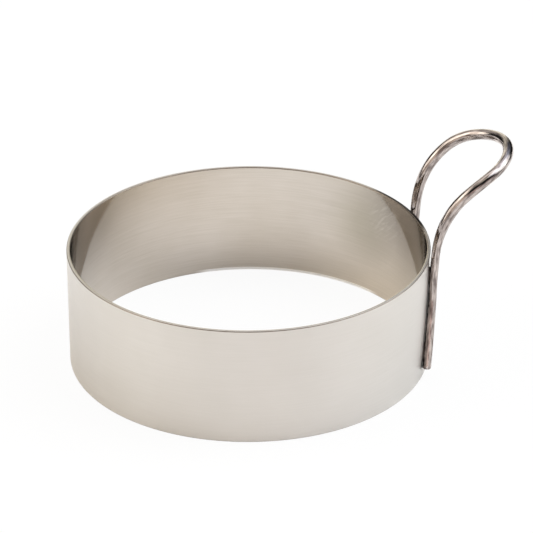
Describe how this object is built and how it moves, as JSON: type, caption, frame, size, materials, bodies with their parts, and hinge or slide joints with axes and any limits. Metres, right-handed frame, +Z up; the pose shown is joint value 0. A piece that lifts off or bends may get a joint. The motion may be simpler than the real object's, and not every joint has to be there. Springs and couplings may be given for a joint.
{
  "type": "egg ring",
  "caption": "Round open ring rolled from stainless strip, with a bent wire loop handle welded to its outer wall, for shaping eggs on a griddle.",
  "frame": {"origin": "on the table plane under the ring, at the middle of the overall footprint, between the far side of the ring and the tip of the handle", "axes": "+Z up along the ring's axis, +X from the ring's axis towards the handle"},
  "size_m": [0.0938, 0.0762, 0.046],
  "materials": {
    "band_steel": "finely brushed along the strip",
    "wire_steel": "bright drawn and polished",
    "weld_steel": "dressed weld metal"
  },
  "bodies": {
    "root": {"ring_band": "band_steel", "band_seam_weld": "weld_steel", "wire_handle": "wire_steel", "leg_weld_left_lower": "weld_steel", "leg_weld_right_lower": "weld_steel", "leg_weld_left_upper": "weld_steel", "leg_weld_right_upper": "weld_steel"}
  },
  "joints": []
}
